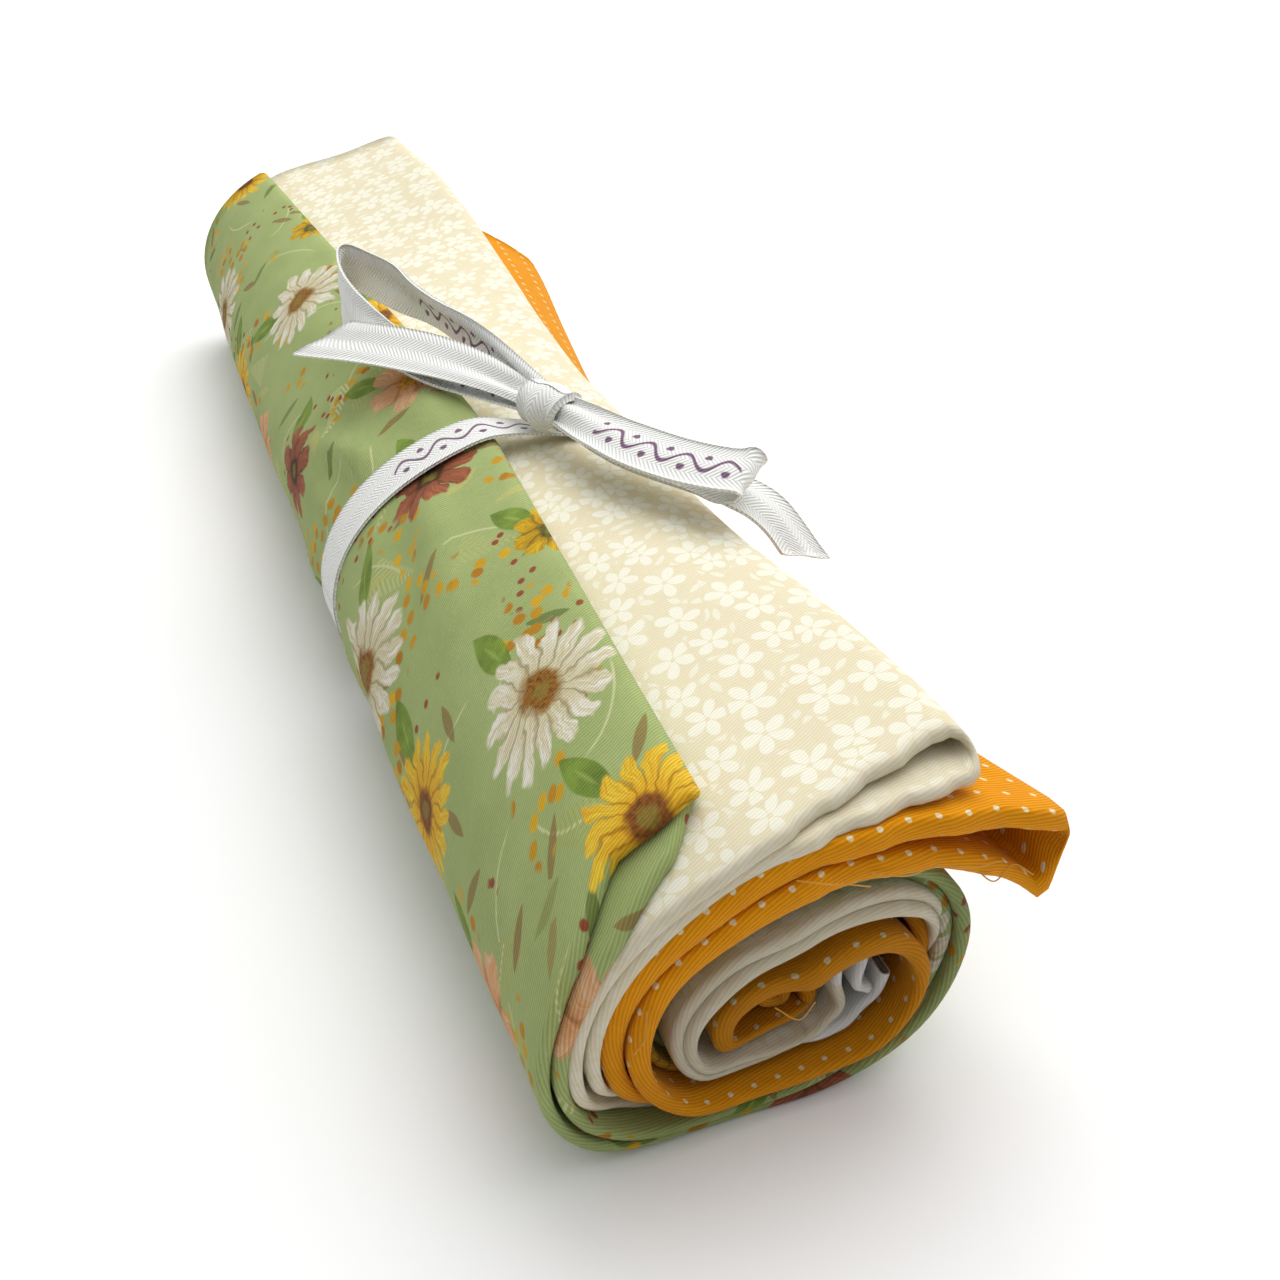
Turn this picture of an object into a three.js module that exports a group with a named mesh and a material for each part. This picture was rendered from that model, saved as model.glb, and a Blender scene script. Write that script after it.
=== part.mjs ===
// A rolled bundle of three folded quilting-cotton cuts, tied with one herringbone tape in a bow.
// Millimetres, +Z up. The roll lies along Y on its flat underside at z = 0, its near end at -Y.
// Each cut is folded in half to half a yard, folded once more lengthwise, and the stack is
// rolled up from the selvages, so every cut shows as a hairpin of two legs wound into a spiral.
import * as THREE from "three";

const TURN = 2 * Math.PI;

// The roll
const ROLL_LENGTH = 457; // a one-yard cut folded in half
const SPIRAL_TURNS = 1.5; // from the top of the roll to the selvages in the core
const STEPS_PER_TURN = 18;
const LAYERS_PER_TURN = 6; // two legs for each of the three cuts
const LEG_THICKNESS = 0.46; // in layers
const CORE_HEIGHT = 37; // height of the centre of the outermost turn
const CORE_DRIFT = { x: 6.3, z: -6 }; // how far the centre moves with each turn inwards
const UNDERSIDE_PITCH = 1.8; // thickness of one layer where the roll's own weight flattens it
// Radius of the outermost turn and radius lost per turn, as waves round the roll
const OUTER_RADIUS = { mean: 48.9, cos: 1.5, sin: -4.8, cos2: -4.4, sin2: -0.8 };
const TURN_DEPTH = { mean: 17.6, cos: 1, sin: -3.2, cos2: 0.4, sin2: 0.5 };
// The roll is fullest in the middle and narrows towards its far end
const FAR_WIDTH = 0.88;
const FAR_HEIGHT = 0.87;
const MIDDLE_SWELL = 0.1;
// Places along the roll, as shares of its length, where the section is taken
const SECTIONS = [0, 0.1, 0.2, 0.28, 0.33, 0.44, 0.49, 0.6, 0.72, 0.86, 1];

const EDGE_MARGIN = 14; // from the far edge to the section before it

// The free edges that reach past the top of the roll
const FLAP_RISE = 0.17; // slope at the top of the roll, radians
const FLAP_PARTS = 5;
const FOLD_DEPTH = 2; // cloth at the fold, where the two legs join
const FOLD_FADE = (4 * TURN) / STEPS_PER_TURN; // how far round a leg is shifted by where its fold lies
const FLAP_DRAWN_IN = 0.18; // share of its reach that the tie takes up
const CORNER_ANGLE = 0.7; // how far round from its fold a leg's near corner is drawn back
const TIGHT_HALF = 0.12; // share of the way from the tie to an end that is held fully tight
const TIGHT_FADE = 0.9;

// The tie
const TAPE_WIDTH = 15;
const TAPE_THICKNESS = 0.8;
const TAPE_CLEARANCE = 0.5;
const TIE_Y = -52; // where the band crosses x = 0
const TIE_SLANT = -0.05; // the band runs a little askew
const TIE_NOTCH = 1.6; // how far the tape presses into the underside
const NOTCH_HALF = 26; // half the length of roll that it presses on fully
const NOTCH_FADE = 44;
const NOTCH_REACH = 30; // height at which that squeeze has died away
const TAPE_COLOUR = 0xf4f3ef;
const TAPE_ROUGHNESS = 0.85;
const CLOTH_ROUGHNESS = 0.9;
const PIECE_GAP = 0.5;

// The bow. Headings are measured from +X towards +Y, in degrees, and rise is from the knot's centre.
const KNOT = { x: 18, y: -57, halfLength: 9, halfWidth: 7.5, halfHeight: 5 };
const LOOP_POINTS = 22;
const LOOP_POINTEDNESS = 1.2;
const LOOP_ROOT = 7; // solid length where the two strands leave the knot together
const LOOP_END = 1; // thickness left at the far end of the loop
const LEFT_LOOP = { length: 104, halfWidth: 12, x: 15, y: -48.5, rise: 3, heading: 105, tilt: 3 };
const RIGHT_LOOP = { length: 62, halfWidth: 4, x: 22.5, y: -65, rise: 2.5, heading: -62, tilt: -3 };
const LEFT_TAIL = { length: 80, opening: 24, gathered: 3, x: 9.5, y: -50.5, rise: -1, heading: 130, tilt: 0 };
const RIGHT_TAIL = { level: 22, hang: 28, x: 26.5, y: -63, rise: -4, heading: -43, tilt: 0 };
const DROOP = 0.75; // how long the hanging tail stays level before it turns down

// Each cut: its two legs' places in the stack; where its fold lies round the roll at the near
// end, under the tie and at the far end, in radians; the reach of its flap; the curl of the flap's
// two legs at those three places, in radians per millimetre; and how far its ends are set back.
const CUTS = [
  {
    name: "floral_fabric",
    colour: 0x8ca573,
    legs: [0, 0.8],
    fold: { near: 0.27, tie: 0.03, far: 0.3 },
    flap: { near: 0, far: 0 },
    curls: [{ near: 0, tie: 0, far: 0 }, { near: 0, tie: 0, far: 0 }],
    nearSetback: 4,
    cornerSetback: 12,
    farSetback: 0,
    farSkew: 0,
  },
  {
    name: "cream_fabric",
    colour: 0xeee4c8,
    legs: [1.6, 2.4],
    fold: { near: 0, tie: 0, far: 0 },
    flap: { near: 42, far: 50 },
    curls: [{ near: 0.003, tie: 0.012, far: -0.0021 }, { near: 0.006, tie: 0.0125, far: -0.0006 }],
    nearSetback: 2,
    cornerSetback: 0,
    farSetback: 0,
    farSkew: 0,
  },
  {
    name: "dot_fabric",
    colour: 0xe19614,
    legs: [3.3, 4.8],
    fold: { near: 0, tie: 0, far: 0 },
    flap: { near: 66, far: 90 },
    curls: [{ near: 0.0105, tie: 0.019, far: 0.0085 }, { near: 0.016, tie: 0.019, far: 0.0095 }],
    nearSetback: 0,
    cornerSetback: 0,
    farSetback: 31,
    farSkew: 47,
  },
];

function wave(terms, angle) {
  return (
    terms.mean +
    terms.cos * Math.cos(angle) +
    terms.sin * Math.sin(angle) +
    terms.cos2 * Math.cos(2 * angle) +
    terms.sin2 * Math.sin(2 * angle)
  );
}

// How far along the roll y is, from 0 at the near end to 1 at the far end.
function shareAlong(y) {
  return y / ROLL_LENGTH + 0.5;
}

// 1 under the tie, falling to 0 at both ends of the roll.
function tightness(share) {
  const tieShare = shareAlong(TIE_Y);
  const away = share < tieShare ? (tieShare - share) / tieShare : (share - tieShare) / (1 - tieShare);
  return 1 - THREE.MathUtils.smoothstep(away, TIGHT_HALF, TIGHT_FADE);
}

// The angle round the roll at which a cut's fold lies.
function foldAngle(fold, share) {
  const tieShare = shareAlong(TIE_Y);
  if (share < tieShare) return THREE.MathUtils.lerp(fold.near, fold.tie, share / tieShare);
  const beyond = (share - tieShare) / (1 - tieShare);
  return THREE.MathUtils.lerp(fold.tie, fold.far, beyond ** 1.5);
}

// Angle is measured from the top of the roll, over the left side; layer counts inwards.
function spiralPoint(angle, layer) {
  const depth = angle / TURN + layer / LAYERS_PER_TURN;
  const radius = wave(OUTER_RADIUS, angle) - wave(TURN_DEPTH, angle) * depth;
  const x = CORE_DRIFT.x * depth - radius * Math.sin(angle);
  const z = CORE_HEIGHT + CORE_DRIFT.z * depth + radius * Math.cos(angle);
  const layersBelow = LAYERS_PER_TURN * Math.floor(angle / TURN) + layer + LEG_THICKNESS / 2;
  return new THREE.Vector2(x, Math.max(z, UNDERSIDE_PITCH * layersBelow));
}

// A flap leaves the top of the roll to the right as an arc.
function flapPoint(distance, layer, curl) {
  const start = spiralPoint(0, layer);
  const slope = FLAP_RISE - curl * distance;
  const x = start.x + (Math.sin(FLAP_RISE) - Math.sin(slope)) / curl;
  const z = start.y + (Math.cos(slope) - Math.cos(FLAP_RISE)) / curl;
  return new THREE.Vector2(x, z);
}

// One point of a cut's section at y: station has a leg, a place across its thickness, and
// either an angle round the spiral or a share of the flap's length.
function sectionPoint(cut, station, y) {
  const share = shareAlong(y);
  const tight = tightness(share);
  const layer = cut.legs[station.leg] + station.across * LEG_THICKNESS;
  let point;
  if (station.flapShare === undefined) {
    const shift = foldAngle(cut.fold, share) * Math.max(1 - station.angle / FOLD_FADE, 0);
    point = spiralPoint(station.angle + shift, layer);
    const fade = THREE.MathUtils.smoothstep(Math.abs(y - TIE_Y), NOTCH_HALF, NOTCH_FADE);
    const notch = (1 - fade) * TIE_NOTCH;
    point.y += notch * Math.max(1 - point.y / NOTCH_REACH, 0);
  } else {
    const curls = cut.curls[station.leg];
    const loose = share < shareAlong(TIE_Y) ? curls.near : curls.far;
    const length =
      THREE.MathUtils.lerp(cut.flap.near, cut.flap.far, share) * (1 - FLAP_DRAWN_IN * tight);
    const curl = THREE.MathUtils.lerp(loose, curls.tie, tight);
    point = flapPoint(length * station.flapShare, layer, curl);
  }
  const swell = MIDDLE_SWELL * 4 * share * (1 - share);
  const width = THREE.MathUtils.lerp(1, FAR_WIDTH, share) + swell;
  const height = THREE.MathUtils.lerp(1, FAR_HEIGHT, share);
  return new THREE.Vector2(point.x * width, point.y * height);
}

// The closed outline of a cut's hairpin: round the fold and both legs, then the slot between them.
function hairpinStations(cut) {
  const hasFlap = cut.flap.near > 0;
  const stations = [];
  const along = [];
  if (hasFlap) {
    for (let i = FLAP_PARTS; i > 0; i--) along.push({ flapShare: i / FLAP_PARTS });
  }
  for (let i = 0; i <= SPIRAL_TURNS * STEPS_PER_TURN; i++) along.push({ angle: (i * TURN) / STEPS_PER_TURN });
  const slot = along.slice(1);
  slot.unshift(hasFlap ? { flapShare: 1 - FOLD_DEPTH / cut.flap.near } : { angle: FOLD_DEPTH / OUTER_RADIUS.mean });
  const backwards = (list) => list.slice().reverse();
  const leg = (list, index, across) => list.forEach((at) => stations.push({ ...at, leg: index, across }));
  leg(backwards(along), 0, -0.5);
  leg(along, 1, 0.5);
  leg(backwards(slot), 1, -0.5);
  leg(slot, 0, 0.5);
  return stations;
}

function makeMesh(name, geometry, colour, roughness) {
  const material = new THREE.MeshStandardMaterial({ color: colour, roughness, metalness: 0 });
  const mesh = new THREE.Mesh(geometry, material);
  mesh.name = name;
  return mesh;
}

// Where a station's vertex lies along the roll, for one of the sections.
function placeAlong(cut, station, section) {
  if (section === 0) {
    const round = station.flapShare === undefined ? station.angle / CORNER_ANGLE : 0;
    const corner = station.leg === 0 ? cut.cornerSetback * Math.max(1 - round, 0) : 0;
    return -ROLL_LENGTH / 2 + cut.nearSetback + corner;
  }
  const farEdge = ROLL_LENGTH / 2 - cut.farSetback - cut.farSkew * (station.flapShare ?? 0);
  if (section === SECTIONS.length - 1) return farEdge;
  return Math.min((SECTIONS[section] - 0.5) * ROLL_LENGTH, farEdge - EDGE_MARGIN);
}

// A cut is extruded from its section, then each vertex moves to the section at its own place.
function makeCut(cut) {
  const stations = hairpinStations(cut);
  const found = new Map();
  const outline = stations.map((station) => {
    const point = sectionPoint(cut, station, -ROLL_LENGTH / 2);
    found.set(`${Math.fround(point.x)} ${Math.fround(point.y)}`, station);
    return point;
  });
  const steps = SECTIONS.length - 1;
  const geometry = new THREE.ExtrudeGeometry(new THREE.Shape(outline), {
    depth: steps,
    steps,
    bevelEnabled: false,
  });
  const position = geometry.attributes.position;
  for (let i = 0; i < position.count; i++) {
    const station = found.get(`${position.getX(i)} ${position.getY(i)}`);
    const y = placeAlong(cut, station, steps - Math.round(position.getZ(i)));
    const point = sectionPoint(cut, station, y);
    position.setXYZ(i, point.x, y, point.y);
  }
  geometry.computeVertexNormals();
  return makeMesh(cut.name, geometry, cut.colour, CLOTH_ROUGHNESS);
}

// The convex outline round a set of points, counterclockwise.
function convexOutline(points) {
  const sorted = points.slice().sort((a, b) => a.x - b.x || a.y - b.y);
  const half = (list) => {
    const chain = [];
    for (const p of list) {
      while (chain.length > 1) {
        const a = chain[chain.length - 2];
        const b = chain[chain.length - 1];
        if ((b.x - a.x) * (p.y - a.y) - (b.y - a.y) * (p.x - a.x) > 0) break;
        chain.pop();
      }
      chain.push(p);
    }
    chain.pop();
    return chain;
  };
  return half(sorted).concat(half(sorted.reverse()));
}

function grownOutline(outline, distance) {
  return outline.map((point, i) => {
    const before = outline[(i + outline.length - 1) % outline.length];
    const after = outline[(i + 1) % outline.length];
    const into = point.clone().sub(before).normalize();
    const out = after.clone().sub(point).normalize();
    const normal = new THREE.Vector2(into.y + out.y, -into.x - out.x).normalize();
    const reach = distance / Math.max(normal.dot(new THREE.Vector2(out.y, -out.x)), 0.5);
    return point.clone().addScaledVector(normal, reach);
  });
}

// The outline of all three cuts together under the tie.
function rollOutlineAtTie() {
  const points = [];
  for (const cut of CUTS) {
    hairpinStations(cut).forEach((station) => points.push(sectionPoint(cut, station, TIE_Y)));
  }
  return convexOutline(points);
}

// The band goes once round the roll; it leans with TIE_SLANT.
function makeBand(rollOutline) {
  const shape = new THREE.Shape(grownOutline(rollOutline, TAPE_CLEARANCE + TAPE_THICKNESS));
  shape.holes.push(new THREE.Path(grownOutline(rollOutline, TAPE_CLEARANCE)));
  const geometry = new THREE.ExtrudeGeometry(shape, { depth: TAPE_WIDTH, bevelEnabled: false });
  geometry.rotateX(Math.PI / 2);
  const position = geometry.attributes.position;
  for (let i = 0; i < position.count; i++) {
    const x = position.getX(i);
    position.setY(i, position.getY(i) + TIE_Y + TAPE_WIDTH / 2 + TIE_SLANT * x);
  }
  return makeMesh("tie_band", geometry, TAPE_COLOUR, TAPE_ROUGHNESS);
}

function makeKnot(height) {
  const geometry = new THREE.SphereGeometry(1, 16, 10);
  geometry.scale(KNOT.halfLength, KNOT.halfWidth, KNOT.halfHeight);
  const mesh = makeMesh("tie_knot", geometry, TAPE_COLOUR, TAPE_ROUGHNESS);
  mesh.position.set(KNOT.x, KNOT.y, height);
  return mesh;
}

// A teardrop of the given length and half-width, its point at the origin, opening along +X.
function teardrop(length, halfWidth, start, firstShare) {
  const points = [];
  for (let i = 0; i < LOOP_POINTS; i++) {
    const turn = ((i + firstShare) / LOOP_POINTS) * TURN;
    const x = start + (length * (1 - Math.cos(turn))) / 2;
    const y = -halfWidth * Math.sin(turn) * Math.sin(turn / 2) ** LOOP_POINTEDNESS;
    points.push(new THREE.Vector2(x, y));
  }
  return points;
}

// A bow loop: the tape runs out, round and back, standing on its edge.
function makeLoop(name, loop) {
  const shape = new THREE.Shape(teardrop(loop.length, loop.halfWidth, 0, 0));
  const opening = loop.length - LOOP_ROOT - LOOP_END;
  const inside = teardrop(opening, loop.halfWidth - TAPE_THICKNESS, LOOP_ROOT, 0.5);
  shape.holes.push(new THREE.Path(inside));
  const geometry = new THREE.ExtrudeGeometry(shape, { depth: TAPE_WIDTH, bevelEnabled: false });
  geometry.translate(0, 0, -TAPE_WIDTH / 2);
  return makeMesh(name, geometry, TAPE_COLOUR, TAPE_ROUGHNESS);
}

// A flat tail in its own XY plane, gathered at the knot and cut off on the slant at its end.
function makeLeftTail({ length, opening, gathered }) {
  const half = TAPE_WIDTH / 2;
  const shape = new THREE.Shape();
  shape.moveTo(0, -gathered);
  shape.quadraticCurveTo(opening / 2, -half, opening, -half);
  shape.lineTo(length - TAPE_WIDTH, -half);
  shape.lineTo(length, half);
  shape.lineTo(opening, half);
  shape.quadraticCurveTo(opening / 2, half, 0, gathered);
  const geometry = new THREE.ExtrudeGeometry(shape, {
    depth: TAPE_THICKNESS,
    bevelEnabled: false,
    curveSegments: 4,
  });
  return makeMesh("tie_tail_left", geometry, TAPE_COLOUR, TAPE_ROUGHNESS);
}

// The right tail runs out level and then hangs over the edge of the roll.
function makeRightTail({ level, hang }) {
  const droop = new THREE.Shape();
  const t = TAPE_THICKNESS;
  droop.moveTo(0, 0);
  droop.lineTo(level, 0);
  droop.quadraticCurveTo(level + hang * DROOP, 0, level + hang, -hang);
  droop.lineTo(level + hang - t, -hang);
  droop.quadraticCurveTo(level + hang * DROOP - 2 * t, -t, level, -t);
  droop.lineTo(0, -t);
  const geometry = new THREE.ExtrudeGeometry(droop, {
    depth: TAPE_WIDTH,
    bevelEnabled: false,
    curveSegments: 6,
  });
  geometry.translate(0, 0, -TAPE_WIDTH / 2);
  geometry.rotateX(Math.PI / 2);
  return makeMesh("tie_tail_right", geometry, TAPE_COLOUR, TAPE_ROUGHNESS);
}

// Puts a piece of the bow where it leaves the knot, pointing along its heading and tilted up.
function atKnot(mesh, place, knotHeight) {
  const lean = new THREE.Group();
  lean.position.set(place.x, place.y, knotHeight + place.rise);
  const degrees = THREE.MathUtils.degToRad;
  lean.rotation.set(0, -degrees(place.tilt), degrees(place.heading), "ZYX");
  lean.add(mesh);
  return lean;
}

const part = new THREE.Group();
CUTS.forEach((cut) => part.add(makeCut(cut)));

const rollOutline = rollOutlineAtTie();
const bandTop = Math.max(...rollOutline.map((point) => point.y)) + TAPE_CLEARANCE + TAPE_THICKNESS;
const knotHeight = bandTop + KNOT.halfHeight + PIECE_GAP;
part.add(makeBand(rollOutline));
part.add(makeKnot(knotHeight));

part.add(atKnot(makeLoop("tie_loop_left", LEFT_LOOP), LEFT_LOOP, knotHeight));
part.add(atKnot(makeLeftTail(LEFT_TAIL), LEFT_TAIL, knotHeight));
const rightLoop = makeLoop("tie_loop_right", RIGHT_LOOP);
rightLoop.rotation.x = Math.PI / 2; // this loop lies flat
part.add(atKnot(rightLoop, RIGHT_LOOP, knotHeight));
part.add(atKnot(makeRightTail(RIGHT_TAIL), RIGHT_TAIL, knotHeight));

export default part;
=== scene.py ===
"""A rolled bundle of three folded quilting cottons, tied with a herringbone tape in a bow.

Every cut of cloth is built as the sheet it is: folded in half across, folded once more
lengthwise, and rolled up from its selvages. Lengths are in millimetres until the meshes are made.
Materials measure the cloth in centimetres.
"""

import math
from typing import NamedTuple

import bpy
import numpy as np
from mathutils import Matrix, Vector


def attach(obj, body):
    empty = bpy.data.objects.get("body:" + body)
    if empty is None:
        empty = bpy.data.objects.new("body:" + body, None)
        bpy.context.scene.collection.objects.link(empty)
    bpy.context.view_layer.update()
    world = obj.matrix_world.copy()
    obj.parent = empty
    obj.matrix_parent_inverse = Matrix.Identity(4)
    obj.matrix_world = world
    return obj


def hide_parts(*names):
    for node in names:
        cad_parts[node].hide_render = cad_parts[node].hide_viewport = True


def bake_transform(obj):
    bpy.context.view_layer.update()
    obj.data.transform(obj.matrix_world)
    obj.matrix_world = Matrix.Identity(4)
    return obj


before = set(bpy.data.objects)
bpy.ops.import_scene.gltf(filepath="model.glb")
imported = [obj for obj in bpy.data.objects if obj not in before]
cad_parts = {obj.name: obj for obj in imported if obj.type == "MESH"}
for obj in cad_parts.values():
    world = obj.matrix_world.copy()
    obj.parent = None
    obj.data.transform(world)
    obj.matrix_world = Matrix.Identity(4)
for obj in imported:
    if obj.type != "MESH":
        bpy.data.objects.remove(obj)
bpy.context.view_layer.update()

MM = 0.001
TURN = 2 * math.pi
TINY = 1e-12  # keeps a length of nothing from being divided by

# The roll, as in the CAD part
ROLL_LENGTH = 457.0
NEAR_Y = -ROLL_LENGTH / 2
FAR_Y = ROLL_LENGTH / 2
LAYERS_PER_TURN = 6
SPIRAL_END = 1.5 * TURN
CORE_HEIGHT = 37.0
CORE_DRIFT_X = 6.3
CORE_DRIFT_Z = -6.0
UNDERSIDE_PITCH = 1.8
# Mean of the outline, then its cosine and sine terms with one and with two waves to the turn
OUTER_RADIUS = (48.9, 1.5, -4.8, -4.4, -0.8)
TURN_DEPTH = (17.6, 1.0, -3.2, 0.4, 0.5)
FAR_WIDTH = 0.88
FAR_HEIGHT = 0.87
MIDDLE_SWELL = 0.1
FLAP_RISE = 0.17
FLAP_DRAWN_IN = 0.18
TIE_Y = -52.0
TIE_SLANT = -0.05

# Cloth
CLOTH_THICKNESS = 0.34
LEG_THICKNESS = 0.5  # two plies, in layers
RIM_LENGTH = 8.0  # how far in from the near end the folded rim is fuller
RIM_DEPTH = 1.3
CORE_LAYER = 2.6  # what one layer takes up in the loose core
ARC_RADIUS = 46.0  # stands for the radius of every turn where a length of cloth is needed
FLAP_ARC = 60.0  # the same for the length of every flap
LEAST_CURL = 1e-5  # a straight flap is given this much, so that its arc has a radius
SPIRAL_STEP = TURN / 90
ROWS = 54  # rows of faces along each ply
RIM_ROWS = 8
TIP_PARTS = 8

# Folds that radiate from the band: arc where each meets it, drift with distance, reach and height
NEAR_FOLDS = ((18, 0.2, 60, 2.2), (34, 0.45, 85, 1.6), (52, 0.25, 70, 2.2), (70, 0.5, 60, 1.5),
              (92, 0.3, 60, 1.6))
FAR_FOLDS = ((10, -0.1, 55, 1.8), (28, 0.35, 70, 3.4), (46, 0.2, 60, 2.0), (66, 0.4, 70, 1.8),
             (88, 0.2, 60, 1.5))
FOLD_SCALE = 1.7
FOLD_RUN_IN = 12.0  # how far from its start a fold stands at its full height

# Slumps of the outer layers at the near end: how far, how far along the roll, place and width in turns
SLUMPS = ((15.0, 45, 0.37, 0.075), (4.5, 45, 0.74, 0.1), (6.5, 110, 0.28, 0.09))

# Tape
TAPE_WIDTH = 15.0
TAPE_THICKNESS = 0.8
TAPE_COLUMNS = 13
BAND_OFFSET = 1.3  # from the outline of the cloth to the middle of the tape
BAND_LIFT = 1.4
BAND_LIFT_REACH = 17.0
PRINT_SHIFT = 203.0  # puts one mark low on the left of the band and one beside the knot
PRINT_SHIFT_FROM = 120.0
SLANT_LENGTH = 22.0  # how much of a tail's end its slanting cut takes up
KNOT = (15.8, -56.5, 85.8)
KNOT_START = 54.0  # where the knot and the tails come in the run of marks
KNOT_HEADING = math.degrees(0.45)
KNOT_PARTS = 18
LOOP_POINTS = 16
LOOP_ROUNDING = 1.4

# Studio, in metres
CAMERA_PLACE = (-0.10251, -0.41643, 0.26543)
CAMERA_DOWN = 33.99
CAMERA_TURN = -21.86
CAMERA_LENS = 43.59
LIGHT_TARGET = (0, 0, 0.04)
SKY_LEAN = (0.25, 0.3, 1.0)  # brightest overhead, then behind the roll and to its right
SKY_STRENGTH = 1.2


# ---------------------------------------------------------------- shape of the roll

def unit(vectors):
    """The vectors along the last axis, each made one long."""
    return vectors / (np.linalg.norm(vectors, axis=-1)[..., None] + TINY)


def travelled(points):
    """How far each point is along the run of points."""
    return np.concatenate([[0], np.cumsum(np.linalg.norm(np.diff(points, axis=0), axis=1))])


def wave(terms, angle):
    mean, cos, sin, cos2, sin2 = terms
    return (mean + cos * np.cos(angle) + sin * np.sin(angle)
            + cos2 * np.cos(2 * angle) + sin2 * np.sin(2 * angle))


def smoothstep(value, low, high):
    t = np.clip((value - low) / (high - low), 0, 1)
    return t * t * (3 - 2 * t)


def bump(value, centre, width):
    return np.exp(-((value - centre) / width) ** 2)


def share_along(y):
    return y / ROLL_LENGTH + 0.5


def tightness(share):
    tie = share_along(TIE_Y)
    away = np.where(share < tie, (tie - share) / tie, (share - tie) / (1 - tie))
    return 1 - smoothstep(away, 0.12, 0.9)


def soft_floor(z, floor, softness=1.2):
    """z, but never under floor, with a soft change from one to the other."""
    over = (z - floor) / softness
    return floor + softness * np.logaddexp(0, over)


def spiral(angle, layer):
    depth = angle / TURN + layer / LAYERS_PER_TURN
    radius = wave(OUTER_RADIUS, angle) - wave(TURN_DEPTH, angle) * depth
    x = CORE_DRIFT_X * depth - radius * np.sin(angle)
    z = CORE_HEIGHT + CORE_DRIFT_Z * depth + radius * np.cos(angle)
    turns_in = smoothstep(angle / TURN, 0.85, 1.15)
    floor = UNDERSIDE_PITCH * (LAYERS_PER_TURN * turns_in + layer + 0.25)
    return x, soft_floor(z, floor)


def flap(distance, layer, curl):
    start_x, start_z = spiral(np.zeros_like(distance), layer)
    curl = np.where(np.abs(curl) < LEAST_CURL, LEAST_CURL, curl)
    slope = FLAP_RISE - curl * distance
    x = start_x + (math.sin(FLAP_RISE) - np.sin(slope)) / curl
    z = start_z + (np.cos(slope) - math.cos(FLAP_RISE)) / curl
    return x, z


def band_y(x):
    """Where the middle of the band lies along the roll; the band runs slightly askew."""
    return TIE_Y + TIE_SLANT * x


def wrinkles(arc, y, x):
    """How far the cloth stands up in folds that radiate from the band, in millimetres."""
    away = y - band_y(x)
    total = np.zeros_like(y)
    for sign, start, folds in ((-1, 4, NEAR_FOLDS), (1, 2, FAR_FOLDS)):
        out = np.maximum(sign * away - TAPE_WIDTH * 0.42, 0)
        width = 4.2 + 0.07 * out
        for place, drift, reach, height in folds:
            rise = smoothstep(out, start, start + FOLD_RUN_IN) * bump(out, 0, reach)
            total += height * rise * bump(arc, place + drift * out, width)
    return total * FOLD_SCALE


def undulation(arc, y):
    """Slow, shallow waves of loosely rolled cloth."""
    return (0.55 * np.sin(y / 31.0 + arc / 19.0 + 0.6) + 0.4 * np.sin(y / 17.0 - arc / 27.0 + 2.1)
            + 0.25 * np.sin(y / 9.0 + arc / 13.0 + 4.0))


def band_lift(x, y, z):
    """How far the tape under the roll holds the cloth off the table, in millimetres."""
    return BAND_LIFT * bump(y, band_y(x), BAND_LIFT_REACH) * (1 - smoothstep(z, 2, 12))


def near_bulge(place, y):
    """How far the outer layers slump sideways at the near end, in millimetres."""
    total = np.zeros_like(y)
    for depth, reach, centre, width in SLUMPS:
        total += depth * bump(y, NEAR_Y, reach) * bump(place, centre, width)
    return total


class Cut(NamedTuple):
    """One cut of cloth: two legs wound into the roll and joined at the fold of the free edge.

    A list by place gives pairs of place and value: turns from the top, or below 0 the share of the flap.
    """

    name: str
    legs: tuple  # depth of each leg in the stack, in layers
    flap_near: float  # how far the fold reaches past the top at the near end
    flap_far: float
    curls: tuple  # of each leg's flap: near end, under the tie, far end
    rims: tuple  # thickness of each leg's near rim by place, in layers
    setbacks: tuple  # how far each near rim lies behind the end of the roll, by place
    far_skew: tuple  # how much shorter the far end is, and how much more at the fold
    core_ends: tuple  # x and z of each leg's loose end in the core
    tip_round: float  # reach of the fold's round edge
    tip_square: float  # 2 for a round edge, more for a squarer one
    tuck: float = 0.0  # how far the fold is drawn in near its near corner
    fold_angle: tuple = (0, 0, 0)  # where round the roll the fold lies, in radians, as for the curls
    rises: tuple = (((0, 0),), ((0, 0),))  # how far each near rim stands out by place, in layers


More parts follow.
